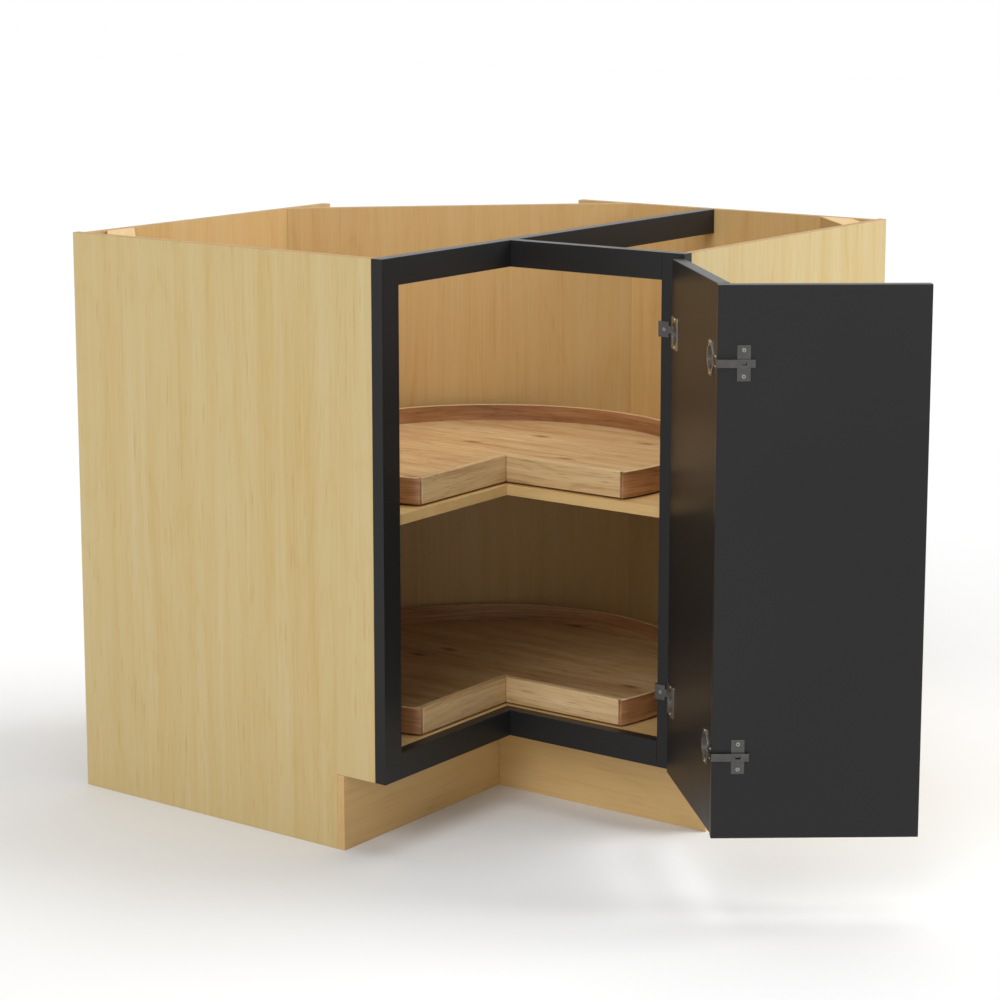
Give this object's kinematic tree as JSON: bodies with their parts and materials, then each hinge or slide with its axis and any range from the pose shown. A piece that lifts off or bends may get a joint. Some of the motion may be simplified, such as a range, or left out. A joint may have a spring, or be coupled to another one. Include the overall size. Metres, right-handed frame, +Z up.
{
  "type": "corner carousel cabinet",
  "caption": "Open-topped L-shaped corner base cabinet with a painted face frame, a folding pair of hinged slab doors and revolving kidney-shaped wooden trays.",
  "frame": {"origin": "on the floor, under the middle of the cabinet's bounding box with its doors as they stand open", "axes": "+Z up; +X from the left wing's wall towards its open front; +Y towards the right wing's wall; the room corner is at -X, +Y, and the inner corner of the L opens towards +X, -Y"},
  "size_m": [1.324, 0.908, 0.8763],
  "materials": {
    "laminate": "satin pale maple-look laminate with upright grain",
    "tray_wood": "clear-sealed solid light brown wood with knots",
    "painted_wood": "satin charcoal black paint",
    "hinge_steel": "nickel-plated pressed steel",
    "bearing_steel": "zinc-plated pressed steel"
  },
  "bodies": {
    "cabinet": {"left_side_panel": "laminate", "right_side_panel": "laminate", "left_back_panel": "laminate", "right_back_panel": "laminate", "corner_back_panel": "laminate", "bottom_deck": "laminate", "middle_shelf": "laminate", "left_kick_board": "laminate", "right_kick_board": "laminate", "left_corner_brace": "laminate", "right_corner_brace": "laminate", "left_stile": "painted_wood", "right_stile": "painted_wood", "long_top_rail": "painted_wood", "short_top_rail": "painted_wood", "left_bottom_rail": "painted_wood", "right_bottom_rail": "painted_wood", "lower_bearing_base": "bearing_steel", "upper_bearing_base": "bearing_steel", "lower_swing_hinge_base": "hinge_steel", "upper_swing_hinge_base": "hinge_steel"},
    "swing_door": {"swing_door_panel": "painted_wood", "lower_swing_hinge_cup": "hinge_steel", "lower_swing_hinge_pin": "hinge_steel", "lower_fold_hinge_cup": "hinge_steel", "lower_fold_hinge_pin": "hinge_steel", "upper_swing_hinge_cup": "hinge_steel", "upper_swing_hinge_pin": "hinge_steel", "upper_fold_hinge_cup": "hinge_steel", "upper_fold_hinge_pin": "hinge_steel"},
    "folding_door": {"folding_door_panel": "painted_wood", "lower_fold_hinge_plate": "hinge_steel", "lower_fold_hinge_arm": "hinge_steel", "upper_fold_hinge_plate": "hinge_steel", "upper_fold_hinge_arm": "hinge_steel"},
    "upper_tray": {"upper_tray_floor": "tray_wood", "upper_tray_rim": "tray_wood", "upper_tray_left_board": "tray_wood", "upper_tray_right_board": "tray_wood", "upper_bearing_top": "bearing_steel"},
    "lower_tray": {"lower_tray_floor": "tray_wood", "lower_tray_rim": "tray_wood", "lower_tray_left_board": "tray_wood", "lower_tray_right_board": "tray_wood", "lower_bearing_top": "bearing_steel"}
  },
  "joints": [
    {"name": "door_swing", "type": "hinge", "parent": "cabinet", "child": "swing_door", "pos_m": [0.23771, -0.15782, 0.4922], "axis": [0, 0, 1], "range_deg": [-135, 0]},
    {"name": "door_fold", "type": "hinge", "parent": "swing_door", "child": "folding_door", "pos_m": [0.42785, -0.35659, 0.4922], "axis": [0, 0, 1], "range_deg": [0, 7.5]},
    {"name": "upper_tray_spin", "type": "hinge", "parent": "cabinet", "child": "upper_tray", "pos_m": [-0.18339, -0.02463, 0.51], "axis": [0, 0, 1], "range_deg": [-360, 360]},
    {"name": "lower_tray_spin", "type": "hinge", "parent": "cabinet", "child": "lower_tray", "pos_m": [-0.18339, -0.02463, 0.162], "axis": [0, 0, 1], "range_deg": [-360, 360]}
  ],
  "couplings": [
    {"joint": "door_fold", "follows": "door_swing", "ratio": -0.055556}
  ]
}
